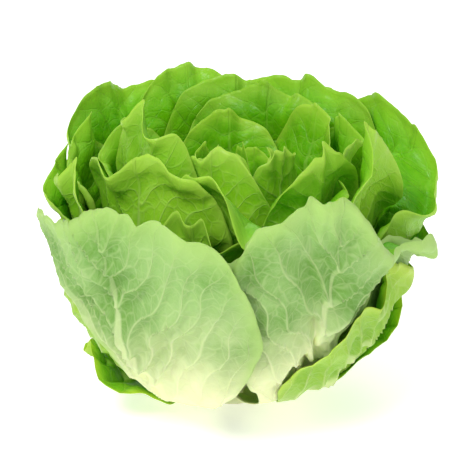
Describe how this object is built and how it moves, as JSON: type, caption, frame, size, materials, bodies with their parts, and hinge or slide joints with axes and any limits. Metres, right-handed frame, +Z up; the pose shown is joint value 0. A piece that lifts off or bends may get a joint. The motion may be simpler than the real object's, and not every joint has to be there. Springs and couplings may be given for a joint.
{
  "type": "lettuce",
  "caption": "Head of butterhead lettuce: a rosette of waved, overlapping leaves around a short stem, cut flat at the base.",
  "frame": {"origin": "centre of the flat cut face at the foot of the stem", "axes": "+Z up along the stem, -Y towards the front of the head"},
  "size_m": [0.1962, 0.1932, 0.1692],
  "materials": {
    "cut_stem": "moist pale cut stem, slightly rough",
    "outer_leaf": "matt waxy underside, cream rib and base, thin bright margin",
    "open_leaf": "glossy bright green inner face, paler matt underside",
    "heart_leaf": "glossy yellow-green heart leaf"
  },
  "bodies": {
    "root": {"basal_left": "open_leaf", "heart_back": "heart_leaf", "heart_centre": "heart_leaf", "heart_front": "heart_leaf", "heart_inner_left": "heart_leaf", "heart_inner_right": "heart_leaf", "heart_left": "heart_leaf", "heart_right": "heart_leaf", "leaf_back": "open_leaf", "leaf_back_left": "open_leaf", "leaf_back_middle": "open_leaf", "leaf_back_right": "open_leaf", "leaf_front": "open_leaf", "leaf_front_left": "open_leaf", "leaf_front_right": "open_leaf", "leaf_inner_back": "open_leaf", "leaf_inner_back_left": "open_leaf", "leaf_inner_left": "open_leaf", "leaf_inner_right": "open_leaf", "leaf_left": "open_leaf", "leaf_left_back": "open_leaf", "leaf_left_front": "open_leaf", "leaf_right": "open_leaf", "leaf_right_back": "open_leaf", "leaf_right_front": "open_leaf", "stem": "cut_stem", "wrapper_back": "outer_leaf", "wrapper_back_left": "outer_leaf", "wrapper_back_right": "outer_leaf", "wrapper_front_left": "outer_leaf", "wrapper_front_right": "outer_leaf", "wrapper_left": "outer_leaf", "wrapper_right": "outer_leaf", "wrapper_right_low": "open_leaf", "wrapper_right_short": "outer_leaf"}
  },
  "joints": []
}
